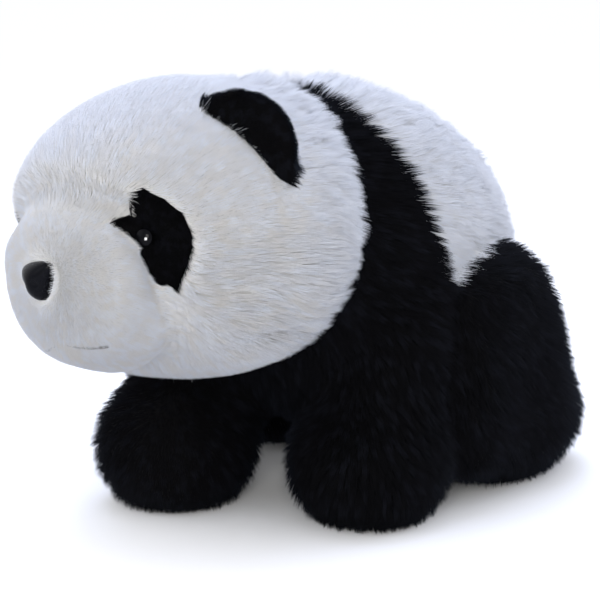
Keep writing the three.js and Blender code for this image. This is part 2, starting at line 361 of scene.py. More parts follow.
@dataclass(frozen=True)
class MouldedPlastic(Finish):
    """Black polypropylene, injection moulded in a polished tool: a clear gloss over deep black."""

    colour: str
    worn: str
    roughness: float
    ripple: float  # size of the faint sink marks, in metres
    mirror: float = 0.5  # how clearly it mirrors the room, 0.5 for the bare plastic

    def _surface(self, tree: bpy.types.NodeTree) -> dict[str, object]:
        """Give the plastic faint sink marks and a haze from handling."""
        place = add_node(tree, "ShaderNodeTexCoord")
        haze = add_node(tree, "ShaderNodeTexNoise", {}, {
            "Vector": place.outputs["Object"], "Scale": 1 / (4 * MM), "Detail": 4.0})
        colour = add_node(tree, "ShaderNodeMix", BLENDED, {
            "Factor": haze.outputs["Fac"], "A": linear(self.colour), "B": linear(self.worn)})
        gloss = add_node(tree, "ShaderNodeMapRange", {}, {
            "Value": haze.outputs["Fac"], "From Min": 0.35, "From Max": 0.7,
            "To Min": self.roughness, "To Max": self.roughness * 1.6})
        sink = add_node(tree, "ShaderNodeTexNoise", {}, {
            "Vector": place.outputs["Object"], "Scale": 1 / self.ripple, "Detail": 1.0})
        relief = add_node(tree, "ShaderNodeBump", {}, {
            "Strength": 0.2, "Distance": 0.2 * MM, "Height": sink.outputs["Fac"]})
        return {"Base Color": colour, "Roughness": gloss, "IOR": 1.49,
                "Specular IOR Level": self.mirror, "Normal": relief}


@dataclass(frozen=True)
class SpunThread(Finish):
    """Brown-black polyester embroidery thread, twisted, with a dull silky face."""

    name: str = "mouth_thread"
    colour: str = "#4a423a"
    shade: str = "#2a2622"
    twist: float = 0.9 * MM  # length of one turn of the ply

    def _surface(self, tree: bpy.types.NodeTree) -> dict[str, object]:
        """Band the thread by the twist of its ply."""
        place = add_node(tree, "ShaderNodeTexCoord")
        ply = add_node(tree, "ShaderNodeTexWave", {"bands_direction": "DIAGONAL"}, {
            "Vector": place.outputs["Object"], "Scale": 0.32 / self.twist, "Distortion": 1.0})
        colour = add_node(tree, "ShaderNodeMix", BLENDED, {
            "Factor": ply.outputs["Fac"], "A": linear(self.shade), "B": linear(self.colour)})
        return {"Base Color": colour, "Roughness": 0.6, "IOR": 1.5, "Sheen Weight": 0.2}


@dataclass(frozen=True)
class StudioPaper(Finish):
    """Matt white seamless paper under and behind the toy."""

    name: str = "studio_paper"
    colour: str = "#fbfbfc"

    def _surface(self, tree: bpy.types.NodeTree) -> dict[str, object]:
        """Keep the paper plain."""
        return {"Base Color": linear(self.colour), "Roughness": 0.9, "Specular IOR Level": 0.1}


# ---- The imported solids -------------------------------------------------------


class SewnForms:
    """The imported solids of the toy, with merged corners and search trees."""

    REACH = 20 * MM  # past this, a solid's distance is only estimated
    MERGE = 0.01 * MM  # corners closer than this are one
    STEP = 0.001 * MM  # from one wall on towards the next

    def __init__(self, names: tuple[str, ...]) -> None:
        self.names = names
        self.meshes = {name: self._merged(name) for name in names}
        self.trees = {name: BVHTree.FromBMesh(mesh) for name, mesh in self.meshes.items()}

    @staticmethod
    def _merged(name: str) -> bmesh.types.BMesh:
        """Copy a node's loose triangles and merge their corners."""
        copy = bmesh.new()
        copy.from_mesh(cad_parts[name].data)
        bmesh.ops.remove_doubles(copy, verts=copy.verts, dist=SewnForms.MERGE)
        copy.normal_update()
        return copy

    @staticmethod
    def _encloses(tree: BVHTree, point: Vector) -> bool:
        """Tell whether a closed solid holds a point, by the walls that a line from it meets."""
        walls = 0
        start = point
        while True:
            place = tree.ray_cast(start, SKEW)[0]
            if place is None:
                return walls % 2 == 1
            walls += 1
            start = place + SKEW * SewnForms.STEP

    def depth(self, name: str, points: np.ndarray) -> np.ndarray:
        """Tell how deep each point lies inside a solid, negative outside it.

        Args:
            name: The solid's node name.
            points: One point a row.

        Returns:
            Depth in metres, one for each point.
        """
        tree = self.trees[name]
        low, high = (np.array(corner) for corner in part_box(name))
        outside = np.maximum(np.maximum(low - points, points - high), 0)
        result = -np.linalg.norm(outside, axis=1)
        for i in np.flatnonzero(result > -self.REACH):
            spot = Vector(points[i])
            place, normal, _, distance = tree.find_nearest(spot)
            inside = (place - spot).dot(normal) > 0 and self._encloses(tree, spot)
            result[i] = distance if inside else -distance
        return result

    def joined(self, grow: float) -> bpy.types.Mesh:
        """Return all solids in one mesh, each grown a little so that they overlap."""
        together = bmesh.new()
        for name in self.names:
            part = self.meshes[name].copy()
            for vertex in part.verts:
                vertex.co += vertex.normal * grow
            carrier = mesh_from(part, name + "_grown")
            together.from_mesh(carrier)
            bpy.data.meshes.remove(carrier)
        return mesh_from(together, "sewn_forms")


class HeadAxes:
    """The head's own axes, worked out from where its eyes and nose sit."""

    BEHIND, BEFORE = -45, 10  # the face calms down between these, in mm ahead of the middle
    JOWL_DEPTH = 35  # the jowls are this far below the middle, in mm ...
    JOWL_ASIDE = (50, 80)  # ... and this far aside
    CALM = 0.85  # how far the pile calms down

    def __init__(self) -> None:
        middle = {name: np.mean(np.array(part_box(name)), axis=0)
                  for name in ("head", NOSE, *EYES)}
        self.centre = middle["head"]
        self.nose = middle[NOSE]
        self.left = unit(middle["eye_left"] - middle["eye_right"])
        ahead = (middle["eye_left"] + middle["eye_right"]) / 2 - self.centre
        self.ahead = unit(ahead - self.left * ahead.dot(self.left))
        self.up = np.cross(self.ahead, self.left)

    def local(self, points: np.ndarray) -> np.ndarray:
        """Give points as how far left, ahead and up they lie from the head's middle."""
        return (points - self.centre) @ np.stack([self.left, self.ahead, self.up], axis=1)

    def unrest(self, points: np.ndarray) -> np.ndarray:
        """Say how long and wavy the pile is: calm on brow and muzzle, wild on the jowls."""
        aside, ahead, up = (self.local(points) / MM).T
        on_face = smooth_step(ahead, self.BEHIND, self.BEFORE)
        low = smooth_step(-up, 0, self.JOWL_DEPTH) * smooth_step(np.abs(aside), *self.JOWL_ASIDE)
        return 1 - on_face * (1 - low) * self.CALM

    def at(self, left: float, ahead: float, up: float) -> np.ndarray:
        """Return the place that lies so far left, ahead and up from the nose."""
        return self.nose + self.left * left + self.ahead * ahead + self.up * up


# ---- Panels of the coat ------------------------------------------------------


class Dye(Enum):
    """The dyes and piles of the fabrics the toy is sewn from."""

    WHITE = "white_fur"
    BLACK = "black_fur"
    VELOUR = "black_velour"


class Half(Enum):
    """Which side of the toy a panel covers."""

    WHOLE = 0
    LEFT = 1
    RIGHT = -1


@dataclass(frozen=True)
class Panel:
    """One sewn panel and how its pile grows. Lengths in metres."""

    name: str
    node: str
    dye: Dye
    tufts: int
    pile: float  # depth of the coat over the skin
    width: float  # of one tuft
    half: Half = Half.WHOLE
    lean: float = 1.6  # how far the tips lie over, as a share of the pile
    wave: float = 0.5  # how far the tips sway in waves, as a share of the pile
    wave_size: float = 10 * MM
    lock: float = 5 * MM  # spacing of the locks that tufts gather in
    gather: float = 0.2  # how strongly they gather
    uneven: float = 0.2  # how much the tufts differ in height, as a share of the pile

    @property
    def region(self) -> str:
        """Name the skin's attribute that holds this panel's margin."""
        return f"in_{self.node}_{self.half.name.lower()}"


# How the pile lies that several panels have in common.
PLUSH = {"lean": 1.3, "wave_size": 6 * MM, "lock": 3.5 * MM, "gather": 0.45, "uneven": 0.5}
FACE = {"wave": 0.6, "lock": 4 * MM, "gather": 0.45}
MUZZLE = {"lean": 2.0, "wave": 0.6, "lock": 3 * MM, "gather": 0.1}
PATCH = {"lean": 0.8, "wave": 0.3, "lock": 2.5 * MM, "gather": 0.1}
EAR = {"lean": 1.2, "wave": 0.8, "wave_size": 6 * MM, "lock": 3 * MM, "gather": 0.35,
       "uneven": 0.6}
BACK = {"wave": 0.6, "gather": 0.3}

PANELS = tuple(
    Panel("coat_" + name, node, dye, tufts, pile * MM, width * MM, half, **lie)
    for name, node, dye, tufts, pile, width, half, lie in (
        ("head_left", "head", Dye.WHITE, 48000, 10, 0.8, Half.LEFT, FACE),
        ("head_right", "head", Dye.WHITE, 44000, 10, 0.8, Half.RIGHT, FACE),
        ("muzzle", "muzzle", Dye.WHITE, 40000, 5, 0.55, Half.WHOLE, MUZZLE),
        ("eye_patch_left", "eye_patch_left", Dye.VELOUR, 9000, 3.6, 0.4, Half.WHOLE, PATCH),
        ("eye_patch_right", "eye_patch_right", Dye.VELOUR, 9000, 3.6, 0.4, Half.WHOLE, PATCH),
        ("ear_left", "ear_left", Dye.BLACK, 12000, 5.5, 0.6, Half.WHOLE, EAR),
        ("ear_right", "ear_right", Dye.BLACK, 11000, 5.5, 0.6, Half.WHOLE, EAR),
        ("shoulder_yoke", "shoulder_yoke", Dye.BLACK, 33000, 9, 0.8, Half.WHOLE, PLUSH),
        ("back_left", "back", Dye.WHITE, 30000, 9, 0.85, Half.LEFT, BACK),
        ("back_right", "back", Dye.WHITE, 26000, 9, 0.85, Half.RIGHT, BACK),
        ("foreleg_left", "foreleg_left", Dye.BLACK, 28000, 8, 0.8, Half.WHOLE, PLUSH),
        ("foreleg_right", "foreleg_right", Dye.BLACK, 25000, 8, 0.8, Half.WHOLE, PLUSH),
        ("hindleg_left", "hindleg_left", Dye.BLACK, 28000, 8, 0.85, Half.WHOLE, PLUSH),
        ("hindleg_right", "hindleg_right", Dye.BLACK, 25000, 8, 0.85, Half.WHOLE, PLUSH),
        ("tail", "tail", Dye.WHITE, 4500, 7, 0.8, Half.WHOLE, {}),
    )
)

FLESH = tuple(dict.fromkeys(panel.node for panel in PANELS))
BLACK_NODES = tuple(dict.fromkeys(panel.node for panel in PANELS if panel.dye is not Dye.WHITE))


# ---- The stuffed skin --------------------------------------------------------


@dataclass
class StuffedSkin:
    """The knitted skin under the pile, one closed stuffed form.

    It starts as all the sewn solids in one, drawn in by the depth of the pile.
    """

    forms: SewnForms
    head: HeadAxes
    overlap: float = 0.6 * MM  # each solid grows by this, which closes the seams between them
    cell: float = 3 * MM  # fineness of the surface
    settle: int = 5  # rounds of smoothing for the outside ...
    settle_skin: int = 4  # ... and for the skin
    calm: float = 0.4  # depth of the calmest pile, as a share of its panel's
    sole_depth: float = 3 * MM  # pile under the paws is pressed this thin, where ...
    sole_slope: tuple[float, float] = (0.6, 0.95)  # ... the skin faces down this much ...
    sole_height: tuple[float, float] = (4 * MM, 14 * MM)  # ... and is this low
    touch: float = 1 * MM  # the skin is under the plastic out to this far round it
    nose_seat: float = 11 * MM  # the skin lies this far under the face of the nose ...
    eye_seat: float = 7.5 * MM  # ... and of an eye
    crease: float = 5.5 * MM  # how far the seam between brow and muzzle pulls in
    crease_swell: float = 3 * MM  # how far the muzzle swells up before it
    crease_width: float = 9 * MM
    crease_height: tuple[float, float] = (-60 * MM, 10 * MM)  # from the jowls to the brow
    crease_lift: float = 0.8  # how far onto the brow it lies there, in widths
    swell_drop: float = 0.6  # how far before the seam the muzzle swells, in widths
    crease_low: float = 0.6  # its depth beside the jowls, as a share
    fill: float = 0.75  # how firmly it is stuffed
    outside: bpy.types.Mesh = field(init=False)
    piece: bpy.types.Object = field(init=False)

    def _remeshed(self, mesh: bpy.types.Mesh, name: str) -> bpy.types.Mesh:
        """Return a mesh's outside as one even closed surface."""
        carrier = new_object(name, mesh)
        remesh = carrier.modifiers.new("even_surface", "REMESH")
        remesh.mode = "VOXEL"
        remesh.voxel_size = self.cell
        result = evaluated_mesh(carrier)
        bpy.data.objects.remove(carrier)
        bpy.data.meshes.remove(mesh)
        return result

    @staticmethod
    def _smoothed(mesh: bpy.types.Mesh, rounds: int) -> None:
        """Relax a mesh in place, a step in and a longer step out, so that it doesn't shrink."""
        around = Neighbours(mesh)
        places = positions(mesh)
        for _ in range(rounds):
            for step in (0.5, -0.52):
                places = places + step * (around.mean(places) - places)
        move_to(mesh, places)

    def _depths(self, mesh: bpy.types.Mesh) -> np.ndarray:
        """Tell how deep the pile is over each vertex of the outside."""
        places = positions(mesh)
        inside = np.stack([self.forms.depth(node, places) for node in FLESH], axis=1)
        pile = {panel.node: panel.pile for panel in PANELS}
        depths = np.array([pile[node] for node in FLESH])[np.argmax(inside, axis=1)]
        depths = depths * (self.calm + (1 - self.calm) * self.head.unrest(places))
        for seat, names in ((self.nose_seat, (NOSE,)), (self.eye_seat, EYES)):
            plastic = np.max([self.forms.depth(name, places) for name in names], axis=0)
            depths = np.where(plastic > -self.touch, seat, depths)
        under = smooth_step(-normals_of(mesh)[:, 2], *self.sole_slope)
        pressed = under * (1 - smooth_step(places[:, 2], *self.sole_height))
        return depths * (1 - pressed) + self.sole_depth * pressed

    def _pull_crease(self, mesh: bpy.types.Mesh) -> None:
        """Pull in the seam between the brow and the muzzle, and swell the muzzle up before it."""
        places = positions(mesh)
        head, muzzle = (self.forms.depth(name, places) for name in ("head", "muzzle"))
        above = (head - muzzle) / self.crease_width  # over 0 on the brow's side of the seam
        reach = self.forms.REACH
        near = smooth_step(np.minimum(head, muzzle), -reach, -0.7 * reach)
        high = smooth_step(self.head.local(places)[:, 2], *self.crease_height)
        dip = np.exp(-((above - self.crease_lift * high) ** 2))
        swell = np.exp(-((above + self.swell_drop) ** 2)) * high
        low_dip = self.crease_low + (1 - self.crease_low) * high
        pull = (self.crease * dip * low_dip - self.crease_swell * swell) * near
        around = Neighbours(mesh)
        inward = unit(around.blur(normals_of(mesh), 2))
        move_to(mesh, places - inward * around.blur(pull, 1)[:, None])

    def build(self) -> bpy.types.Object:
        """Draw the outside in by the pile's depth and close it again as the skin."""
        self.outside = self._remeshed(self.forms.joined(self.overlap), "outside")
        self._smoothed(self.outside, self.settle)
        self._pull_crease(self.outside)
        around = Neighbours(self.outside)
        depths = around.blur(self._depths(self.outside), 3)
        inward = unit(around.blur(normals_of(self.outside), 4))
        drawn = self.outside.copy()
        move_to(drawn, positions(drawn) - inward * depths[:, None])
        skin = self._remeshed(drawn, "drawn_in")
        self._smoothed(skin, self.settle_skin)
        skin.name = "stuffed_skin"
        shade_smooth(skin)
        self.piece = new_object("stuffed_skin", skin)
        log.info("stuffed_skin: %d faces", len(skin.polygons))
        return self.piece

    def unwrap(self) -> None:
        """Flatten the skin into patches by its own shape, for the pile's map."""
        bpy.ops.object.select_all(action="DESELECT")
        self.piece.select_set(True)
        bpy.context.view_layer.objects.active = self.piece
        self.piece.data.uv_layers.new(name="SkinMap")
        bpy.ops.object.mode_set(mode="EDIT")
        bpy.ops.mesh.select_all(action="SELECT")
        bpy.ops.uv.smart_project(angle_limit=math.radians(66), island_margin=0.004)
        bpy.ops.object.mode_set(mode="OBJECT")

    def dress(self) -> None:
        """Give the skin its backing and its place in the frame."""
        layers = self.piece.data.attributes
        for name in [layer.name for layer in layers]:
            if name.startswith("in_") or name in Groom.KEPT:
                layers.remove(layers[name])
        self.piece.data.materials.clear()
        self.piece.data.materials.append(KnittedBacking().make())
        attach(self.piece, BODY)
        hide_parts(*FLESH)


# ---- The lie of the coat -----------------------------------------------------


@dataclass
class Groom:
    """Brushes the coat: how long the pile is at each place on the skin and which way it lies."""

    # What the skin keeps only until the pile has grown.
    KEPT = ("comb", "skin_normal", "pile_height", "creamy", "unrest")
    # How each solid's pile is brushed: shares of backwards, downwards and outwards.
    LIE = {
        "shoulder_yoke": (0.75, 0.7, 0.15),
        "back": (0.9, 0.45, 0.1),
        "foreleg_left": (0.2, 1, 0.1),
        "foreleg_right": (0.2, 1, 0.1),
        "hindleg_left": (0.45, 0.85, 0),
        "hindleg_right": (0.45, 0.85, 0),
        "tail": (0.5, 0.9, 0),
    }

    skin: StuffedSkin
    forms: SewnForms
    head: HeadAxes
    swirl: float = math.radians(34)  # how far the brushing wanders
    swirl_size: float = 34 * MM
    shortest: float = 1.5 * MM
    longest: float = 15 * MM
    blend: float = 9 * MM  # half the width over which one panel's brushing turns into the next's
    patch_shift: float = 2.5 * MM  # black of a patch reaches this far past its upper outer edge
    patch_trim: float = 4.5 * MM  # ... and stops this far short of its lower outer one
    patch_clearing: float = 10 * MM  # width of the upright pile beside a patch
    patch_stray: float = 0.5  # how much longer the pile is at the edge of an eye patch
    patch_reach: float = 30 * MM  # both grow from the middle of its edge over this distance
    crease_clearing: float = 12 * MM  # width of the shorter pile and painted crease shade round the muzzle
    crease_short: float = 0.4  # how much shorter it is there
    stray_width: float = 5 * MM  # width of the longer pile at an edge
    ear_stray: float = 1.0  # how much longer it is round the root of an ear
    ear_rim: tuple[float, float] = (112 * MM, 122 * MM)  # how far out an ear's rim is
    ear_root: float = 7 * MM  # black pile starts this deep in the white round an ear
    ear_clearing: float = 16 * MM  # width of the shorter pile round an ear
    plastic_clearing: float = 7 * MM  # width of the upright pile round the eyes and the nose
    ragged: float = 1.8 * MM  # how far the edge of the black wanders ...
    ragged_size: float = 6 * MM  # ... and over what distance
    flank: tuple[float, float] = (178 * MM, 212 * MM)  # below this the black closes over the seam
    flank_cover: float = 13 * MM  # ... by this much
    band_bulge: float = 6 * MM  # the shoulder band's black reaches this far past its seam ...
    band_height: float = 215 * MM  # ... at this height
    band_spread: float = 45 * MM
    face_middle: tuple[float, float] = (70 * MM, 4 * MM)  # ahead of the head's middle, and up
    crown: float = 20 * MM  # the head's pile spreads from this far behind its middle
    cream_ahead: tuple[float, float] = (-60, 10)  # white yellows from here to here, in mm ...
    cream_up: tuple[float, float] = (30, 85)  # ... and no more above these
    cream_least: float = 0.15  # how yellow it is all over, as a share ...
    cream_face: float = 0.6  # ... and how much more so on the face
    cloud_size: float = 30 * MM

    def _store(self, name: str, values: np.ndarray) -> None:
        """Keep a number or a vector for each vertex of the skin."""
        mesh = self.skin.piece.data
        flat = values.ndim == 1
        layer = mesh.attributes.new(name, "FLOAT" if flat else "FLOAT_VECTOR", "POINT")
        layer.data.foreach_set("value" if flat else "vector", values.astype(np.float32).ravel())

    def _heights(self, places: np.ndarray, normals: np.ndarray) -> np.ndarray:
        """Measure from the skin straight out to the tips of the coat."""
        tree = search_tree(self.skin.outside)
        result = np.empty(len(places))
        for i, (place, normal) in enumerate(zip(places, normals)):
            distance = tree.ray_cast(Vector(place), Vector(normal), 3 * self.longest)[3]
            result[i] = self.longest if distance is None else distance
        return np.clip(result, self.shortest, self.longest)

    def _flow(self, places: np.ndarray, share: dict[str, np.ndarray]) -> np.ndarray:
        """Say which way the pile is brushed, before it is laid on the surface.

        Args:
            places: The skin's vertices, one a row.
            share: For each sewn solid, how far each vertex belongs to it, from 0 to 1.

        Returns:
            One direction a row.
        """
        head = self.head
        down = np.array([0.0, 0.0, -1.0])
        back = np.array([0.0, 1.0, 0.0])
        face = head.centre + head.ahead * self.face_middle[0] + head.up * self.face_middle[1]
        from_head = unit(places - head.centre)
        side = np.sign(places[:, :1]) * np.array([1.0, 0.0, 0.0])
        # The inside of an ear hangs over its root; its rim stands outwards.
        rim = smooth_step(np.linalg.norm(places - head.centre, axis=1), *self.ear_rim)
        ear = from_head * (1.6 * rim - 0.6)[:, None] + 0.3 * down
        patch = -0.45 * unit(places - face) + 0.35 * down
        crown = head.at(0, -self.crown, 0)
        behind = 1 - smooth_step(head.local(places)[:, 1:2], 0, 40 * MM)
        flows = {
            "head": unit(places - crown) + 0.3 * behind * down - 0.45 * head.ahead,
            "muzzle": unit(places - head.nose) + 0.15 * down,
            "eye_patch_left": patch,
            "eye_patch_right": patch,
            "ear_left": ear,
            "ear_right": ear,
        }
        for node, (backward, downward, outward) in self.LIE.items():
            flows[node] = backward * back + downward * down + outward * side
        return sum(share[node][:, None] * flow for node, flow in flows.items())

    def _creamy(self, places: np.ndarray) -> np.ndarray:
        """Say where the white pile has yellowed: on the face and jowls, in soft clouds."""
        ahead, up = (self.head.local(places) / MM).T[1:]
        on_head = smooth_step(ahead, *self.cream_ahead) * (1 - smooth_step(up, *self.cream_up))
        clouds = self.cream_face + self.cream_face * ripple(places, self.cloud_size, 5.3)
        return np.clip(self.cream_least + on_head * clouds, 0, 1)

    def _moved(self, places: np.ndarray, inside: dict[str, np.ndarray]) -> dict[str, np.ndarray]:
        """Move the edges of the black from the solids' seams to where the pile shows them.

        Args:
            places: The skin's vertices, one a row.
            inside: For each sewn solid, how deep each vertex lies in it.

        Returns:
            The same depths, moved.
        """
        moved = dict(inside)
        flank = self.flank_cover * (1 - smooth_step(places[:, 2], *self.flank))
        for side in ("left", "right"):
            patch = "eye_patch_" + side
            middle = self.head.local(np.mean(np.array(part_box(patch)), axis=0)[None])
            apart = self.head.local(places) - middle
            outward = apart[:, 0] * np.sign(middle[0, 0])
            past = smooth_step(np.abs(outward + apart[:, 2]), 0, self.patch_reach)
            short = smooth_step(outward - apart[:, 2], 5 * MM, self.patch_reach)
            moved[patch] = moved[patch] + (self.patch_shift * past - self.patch_trim * short)
            moved["ear_" + side] = moved["ear_" + side] + self.ear_root
            moved["hindleg_" + side] = moved["hindleg_" + side] + flank
        bulge = np.exp(-(((places[:, 2] - self.band_height) / self.band_spread) ** 2))
        moved["shoulder_yoke"] = moved["shoulder_yoke"] + flank + self.band_bulge * bulge
        jagged = self.ragged * ripple(places, self.ragged_size, 7.7)
        for node in BLACK_NODES:
            moved[node] = moved[node] + jagged
        return moved

    def _comb(self, places: np.ndarray, normals: np.ndarray, share: dict[str, np.ndarray],
              around: Neighbours) -> np.ndarray:
        """Lay the brushing on the skin and let it wander.

        Args:
            places: The skin's vertices, one a row.
            normals: Their normals.
            share: For each sewn solid, how far each vertex belongs to it, from 0 to 1.
            around: The skin's neighbourhoods.

        Returns:
            One direction a row, at right angles to the normal.
        """
        flow = across_normal(unit(self._flow(places, share)), normals)
        flow = unit(around.blur(flow, 6))
        turn = self.swirl * self.head.unrest(places) * ripple(places, self.swirl_size, 3.1)
        aside = np.cross(normals, flow)
        return unit(across_normal(flow * np.cos(turn)[:, None] + aside * np.sin(turn)[:, None],
                                  normals))

    def brush(self) -> None:
        """Work out the whole coat and keep it on the skin."""
        mesh = self.skin.piece.data
        places = positions(mesh)
        around = Neighbours(mesh)
        normals = unit(around.blur(normals_of(mesh), 3))
        inside = {node: self.forms.depth(node, places) for node in FLESH}
        near_ear = np.maximum(inside["ear_left"], inside["ear_right"])
        near_patch = np.maximum(inside["eye_patch_left"], inside["eye_patch_right"])
        inside = self._moved(places, inside)
        ranked = np.sort(np.stack(list(inside.values())), axis=0)
        margin = {node: np.where(depth >= ranked[-1], depth - ranked[-2], depth - ranked[-1])
                  for node, depth in inside.items()}
        share = {node: smooth_step(margin[node], -self.blend, self.blend) for node in FLESH}
        comb = self._comb(places, normals, share, around)
        self._store("black", np.max([margin[node] for node in FLESH
                                     if node not in ("head", "muzzle", "back", "tail")], axis=0))
        self._store("skin_normal", normals)

        # Round the plastic, and in the white before an ear, the pile stands up. So does the
        # muzzle's beside an eye patch, where it would lie over the black.
        taken = np.max([self.forms.depth(name, places) for name in (NOSE, *EYES)], axis=0)
        lying = smooth_step(-taken, 0, self.plastic_clearing, 0.15)
        for node, near, width, least in (("head", near_ear, self.ear_clearing, 0.2),
                                         ("muzzle", near_patch, self.patch_clearing, 0.25)):
            lying = lying * np.where(margin[node] > 0, smooth_step(-near, 0, width, least), 1)
        self._store("comb", comb * lying[:, None])

        clearing = smooth_step(-near_ear, 0, self.ear_clearing, 0.4)
        clearing = np.where(margin["head"] > 0, clearing, 1)
        velour = np.maximum(margin["eye_patch_left"], margin["eye_patch_right"])
        eared = np.maximum(margin["ear_left"], margin["ear_right"])
        stray = 1
        for edge, longer in ((velour, self.patch_stray), (eared, self.ear_stray)):
            fringe = np.where(edge > 0, 1 - smooth_step(edge, 0, self.stray_width), 0)
            stray = stray + longer * fringe
        seam = np.maximum(np.abs(margin["head"]), np.abs(margin["muzzle"]))
        seam = 1 - smooth_step(seam, 0, self.crease_clearing)
        height = (self._heights(places, normals) * clearing * stray
                  * (1 - self.crease_short * seam))
        self._store("pile_height", around.blur(height, 1))
        self._store("unrest", self.head.unrest(places))
        # Along the seam round the muzzle the cream tint is painted shade in the crease.
        self._store("creamy", np.maximum(self._creamy(places), seam))

        # No pile grows where the eyes and the nose sit.
        for panel in PANELS:
            edge = np.minimum(margin[panel.node], -taken)
            if panel.half is not Half.WHOLE:
                beside = places[:, 0]
                if panel.node == "head":
                    beside = self.head.local(places)[:, 0]
                edge = np.minimum(edge, panel.half.value * beside)
            self._store(panel.region, edge)


# ---- The pile ----------------------------------------------------------------


class PileTree:
    """The rule by which a panel's tufts are set, bent and gathered, as a geometry tree."""

    INPUTS = (
        ("Skin", "NodeSocketGeometry"), ("Panel", "NodeSocketString"),
        ("Spacing", "NodeSocketFloat"), ("Width", "NodeSocketFloat"),
        ("Lean", "NodeSocketFloat"), ("Wave", "NodeSocketFloat"),
        ("Wave size", "NodeSocketFloat"), ("Lock spacing", "NodeSocketFloat"),
        ("Gather", "NodeSocketFloat"), ("Uneven", "NodeSocketFloat"), ("Seed", "NodeSocketInt"),
        ("Material", "NodeSocketMaterial"),
    )
    PATCH = 0.003  # width of one tuft's patch on the map
    FLOOR = 0.2 * MM  # lowest that a tip may reach
    THINNESS = 0.35  # of a tuft, as a share of its breadth
    PAST = 3 * MM  # points are set this far past a panel's edge before they are trimmed
    # Least, most and seed of what differs at random: how far a lock lies over and how far a tuft
    # does, how loosely it gathers, how far it stands up, its tint, its turn and its girth.
    CHANCES = ((0.75, 1.25, 1), (0.7, 1.3, 2), (0.5, 1.3, 3), (-0.6, 0.4, 4), (0.0, 1.0, 6),
               (-0.5, 0.5, 7), (0.35, 0.65, 8))
    # The kinds of node that the rule is made of.
    RANDOM = "FunctionNodeRandomValue"
    READ = "GeometryNodeInputNamedAttribute"
    KEEP = "GeometryNodeStoreNamedAttribute"

    def __init__(self) -> None:
        self.tree = bpy.data.node_groups.new("pile", "GeometryNodeTree")
        for name, kind in self.INPUTS:
            self.tree.interface.new_socket(name, in_out="INPUT", socket_type=kind)
        self.tree.interface.new_socket("Pile", in_out="OUTPUT", socket_type="NodeSocketGeometry")
        self.given = add_node(self.tree, "NodeGroupInput").outputs
        self.place = add_node(self.tree, "GeometryNodeInputPosition")
        self.height, self.unrest = (add_node(self.tree, self.READ, NUMBER, {"Name": name})
                                    for name in ("pile_height", "unrest"))
        self.normal, self.comb, self.tip = (add_node(self.tree, self.READ, ARROW, {"Name": name})
                                            for name in ("skin_normal", "comb", "tip"))
        self._build()

    def _scattered(self, spacing: object, seed: object) -> bpy.types.Node:
        """Set points evenly over one panel, a little past its edges, then trim them to it."""
        tree = self.tree
        edge = add_node(tree, self.READ, NUMBER, {"Name": self.given["Panel"]})
        near = add_node(tree, "FunctionNodeCompare", {"operation": "GREATER_THAN"},
                        {"A": edge, "B": -self.PAST})
        cell = add_node(tree, *MULTIPLY, {0: spacing, 1: spacing})
        most = add_node(tree, *DIVIDE, {0: 4.0, 1: cell})
        points = add_node(tree, "GeometryNodeDistributePointsOnFaces",
                          {"distribute_method": "POISSON"},
                          {"Mesh": self.given["Skin"], "Selection": near,
                           "Distance Min": spacing, "Density Max": most, "Seed": seed})
        off = add_node(tree, "FunctionNodeCompare", {"operation": "LESS_EQUAL"},
                       {"A": edge, "B": 0.0})
        return add_node(tree, "GeometryNodeDeleteGeometry", {"domain": "POINT"},
                        {"Geometry": points.outputs["Points"], "Selection": off})

    def _tip_at(self, rise: object, over: object) -> bpy.types.Node:
        """Place a tuft's tip by the brushing of the skin at its root.

        Args:
            rise: How far it stands up, as a share of the pile's depth there.
            over: How far it lies over, as a share of the same depth.

        Returns:
            The node that gives the tip's place.
        """
        tree = self.tree
        lift = add_node(tree, *MULTIPLY, {0: self.height, 1: rise})
        reach = add_node(tree, *MULTIPLY, {0: self.height, 1: over})
        fineness = add_node(tree, *DIVIDE, {0: 1.0, 1: self.given["Wave size"]})
        field_at = add_node(tree, "ShaderNodeTexNoise", {},
                            {"Vector": self.place, "Scale": fineness, "Detail": 1.0})
        sway = add_node(tree, *APART, {0: field_at.outputs["Color"], 1: (0.5, 0.5, 0.5)})
        strength = add_node(tree, *MULTIPLY, {0: self.given["Wave"], 1: self.unrest})
        swing = add_node(tree, *MULTIPLY, {0: self.height, 1: strength})
        swing = add_node(tree, *MULTIPLY, {0: swing, 1: 3.0})
        upward = add_node(tree, *SCALED, {0: self.normal, "Scale": lift})
        along = add_node(tree, *SCALED, {0: self.comb, "Scale": reach})
        aside = add_node(tree, *SCALED, {0: sway, "Scale": swing})
        total = self.place
        for part in (upward, along, aside):
            total = add_node(tree, *SUM, {0: total, 1: part})
        return total

    def _rooted(self) -> bpy.types.Node:
        """Set the panel's tufts as points that know their tips, locks and girth."""
        tree, given = self.tree, self.given
        wild_lock, wild, loose, rise, chance, turn, thick = (
            add_node(tree, self.RANDOM, {}, {"Min": low, "Max": high, "Seed": seed})
            for low, high, seed in self.CHANCES)

        # Locks: a sparse set of guides, whose tips the tufts round them lean to.
        seed = add_node(tree, "ShaderNodeMath", {"operation": "ADD"}, {0: given["Seed"], 1: 50})
        over = add_node(tree, *MULTIPLY, {0: given["Lean"], 1: wild_lock})
        guides = self._scattered(given["Lock spacing"], seed)
        guides = add_node(tree, self.KEEP, ARROW, {
            "Geometry": guides, "Name": "tip", "Value": self._tip_at(1.0, over)})
        nearest = add_node(tree, "GeometryNodeSampleNearest", {"domain": "POINT"},
                           {"Geometry": guides})
        lock_tip = add_node(tree, "GeometryNodeSampleIndex",
                            {"data_type": "FLOAT_VECTOR", "domain": "POINT"},
                            {"Geometry": guides, "Value": self.tip, "Index": nearest})
        lock_chance = add_node(tree, self.RANDOM, {}, {"Min": 0.0, "Max": 1.0, "ID": nearest,
                                                       "Seed": 9})

